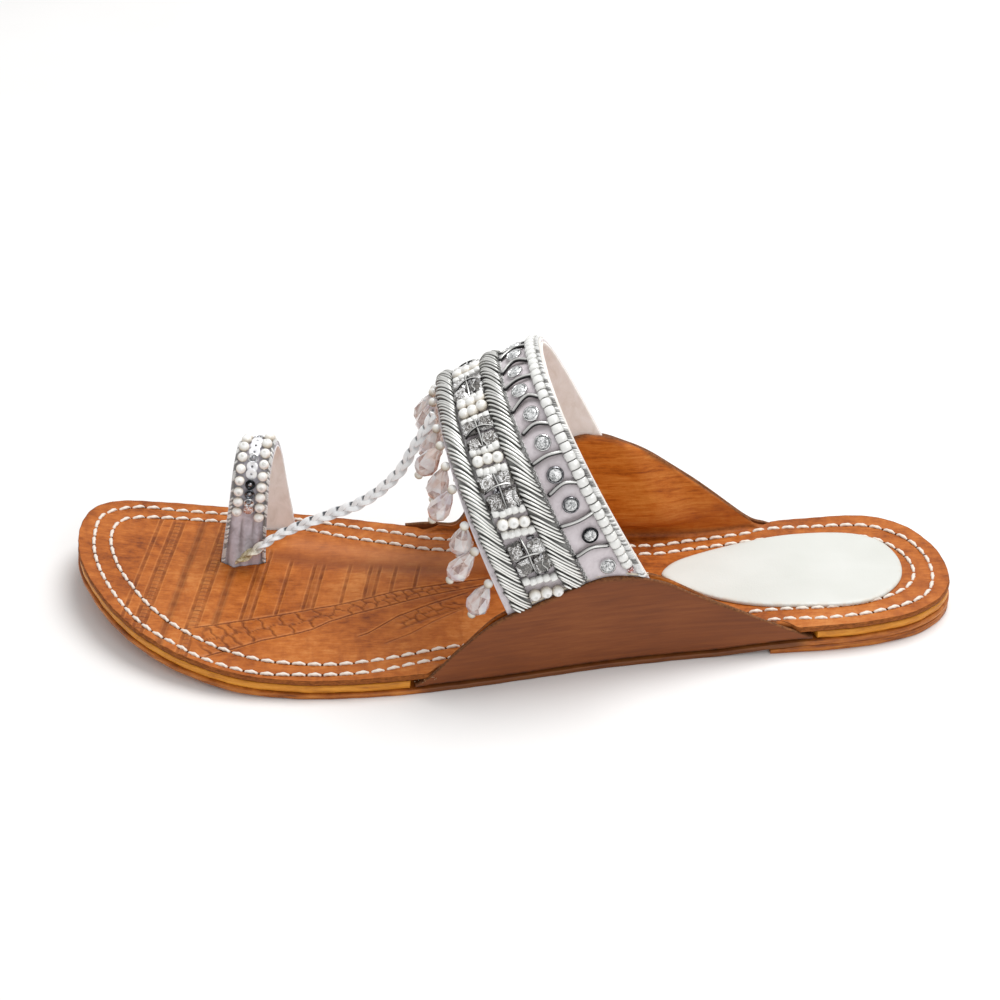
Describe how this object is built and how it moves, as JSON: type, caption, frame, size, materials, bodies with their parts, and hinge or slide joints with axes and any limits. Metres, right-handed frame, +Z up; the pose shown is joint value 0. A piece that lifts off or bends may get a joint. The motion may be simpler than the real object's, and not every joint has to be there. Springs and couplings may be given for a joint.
{
  "type": "kolhapuri sandal",
  "caption": "Left flat kolhapuri sandal: layered leather sole, turned-up side ears, embroidered instep band, beaded toe ring, plaited braid and crystal drops.",
  "frame": {"origin": "middle of the bounding box, on the floor under the sole", "axes": "+X towards the toe, +Y towards the outer side of the foot, +Z up"},
  "size_m": [0.25, 0.0878, 0.0814],
  "materials": {
    "edge_leather": "cut and stained vegetable-tanned leather, matt",
    "ochre_leather": "cut edge of pale ochre leather board, matt",
    "tan_leather": "burnished tan leather with an embossed grain, semi-gloss",
    "ear_leather": "oiled brown leather with fine streaks, satin",
    "white_leather": "white coated leather, semi-gloss",
    "satin": "pale lilac satin under bead and wire embroidery",
    "crystal": "pale pink cut crystal between pearl beads, glossy"
  },
  "bodies": {
    "root": {"outsole": "edge_leather", "heel_lift": "edge_leather", "midsole": "ochre_leather", "footbed": "tan_leather", "heel_pad": "white_leather", "ear_lateral": "ear_leather", "ear_medial": "ear_leather", "instep_band": "satin", "toe_ring": "satin", "braid": "white_leather", "drop_01": "crystal", "drop_02": "crystal", "drop_03": "crystal", "drop_04": "crystal", "drop_05": "crystal", "drop_06": "crystal", "drop_07": "crystal", "drop_08": "crystal", "drop_09": "crystal", "drop_10": "crystal", "drop_11": "crystal", "drop_12": "crystal", "drop_13": "crystal", "drop_14": "crystal", "drop_15": "crystal"}
  },
  "joints": []
}
